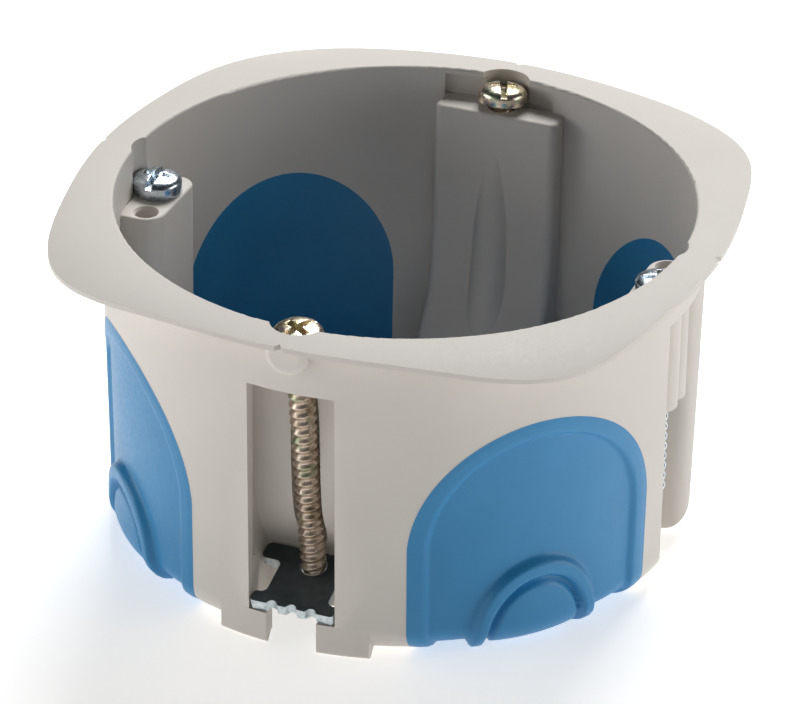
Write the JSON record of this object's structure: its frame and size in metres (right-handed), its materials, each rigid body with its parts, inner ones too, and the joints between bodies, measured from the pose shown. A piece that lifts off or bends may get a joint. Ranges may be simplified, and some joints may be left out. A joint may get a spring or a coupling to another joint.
{
  "type": "flush mounting box",
  "caption": "Round hollow-wall mounting box with lobed flange, soft cable-entry membranes, swing-out screw claws and device screws.",
  "frame": {"origin": "centre of the box at the underside of its feet", "axes": "+Z out of the open mouth; the device screws are on the X axis and the claws on the Y axis"},
  "size_m": [0.0732, 0.0732, 0.04],
  "materials": {
    "grey_plastic": "fine matt moulded",
    "blue_soft": "smooth soft elastomer",
    "yellow_zinc": "yellow passivated zinc",
    "dark_steel": "stamped zinc-plated steel",
    "bright_zinc": "bright zinc plated"
  },
  "bodies": {
    "box": {"box_shell": "grey_plastic", "membrane_front_left": "blue_soft", "membrane_front_right": "blue_soft", "membrane_back_left": "blue_soft", "membrane_back_right": "blue_soft"},
    "claw_screw_front": {"claw_screw_front": "yellow_zinc"},
    "claw_screw_back": {"claw_screw_back": "yellow_zinc"},
    "claw_front": {"claw_front": "dark_steel"},
    "claw_back": {"claw_back": "dark_steel"},
    "device_screw_left": {"device_screw_left": "bright_zinc"},
    "device_screw_right": {"device_screw_right": "bright_zinc"}
  },
  "joints": [
    {"name": "claw_screw_front_swing", "type": "hinge", "parent": "box", "child": "claw_screw_front", "pos_m": [0, -0.031, 0.03725], "axis": [-1, 0, 0], "range_deg": [0, 6.9]},
    {"name": "claw_screw_back_swing", "type": "hinge", "parent": "box", "child": "claw_screw_back", "pos_m": [0, 0.031, 0.03725], "axis": [1, 0, 0], "range_deg": [0, 6.9]},
    {"name": "claw_front_climb", "type": "slide", "parent": "claw_screw_front", "child": "claw_front", "axis": [0, -0.153, 0.9882], "range_m": [0, 0.00665]},
    {"name": "claw_back_climb", "type": "slide", "parent": "claw_screw_back", "child": "claw_back", "axis": [0, 0.153, 0.9882], "range_m": [0, 0.00665]},
    {"name": "device_screw_left_lift", "type": "slide", "parent": "box", "child": "device_screw_left", "axis": [0, 0, 1], "range_m": [0, 0.026]},
    {"name": "device_screw_right_lift", "type": "slide", "parent": "box", "child": "device_screw_right", "axis": [0, 0, 1], "range_m": [0, 0.026]}
  ],
  "couplings": [
    {"joint": "claw_front_climb", "follows": "claw_screw_front_swing", "m_per_rad": 0.055},
    {"joint": "claw_back_climb", "follows": "claw_screw_back_swing", "m_per_rad": 0.055}
  ]
}
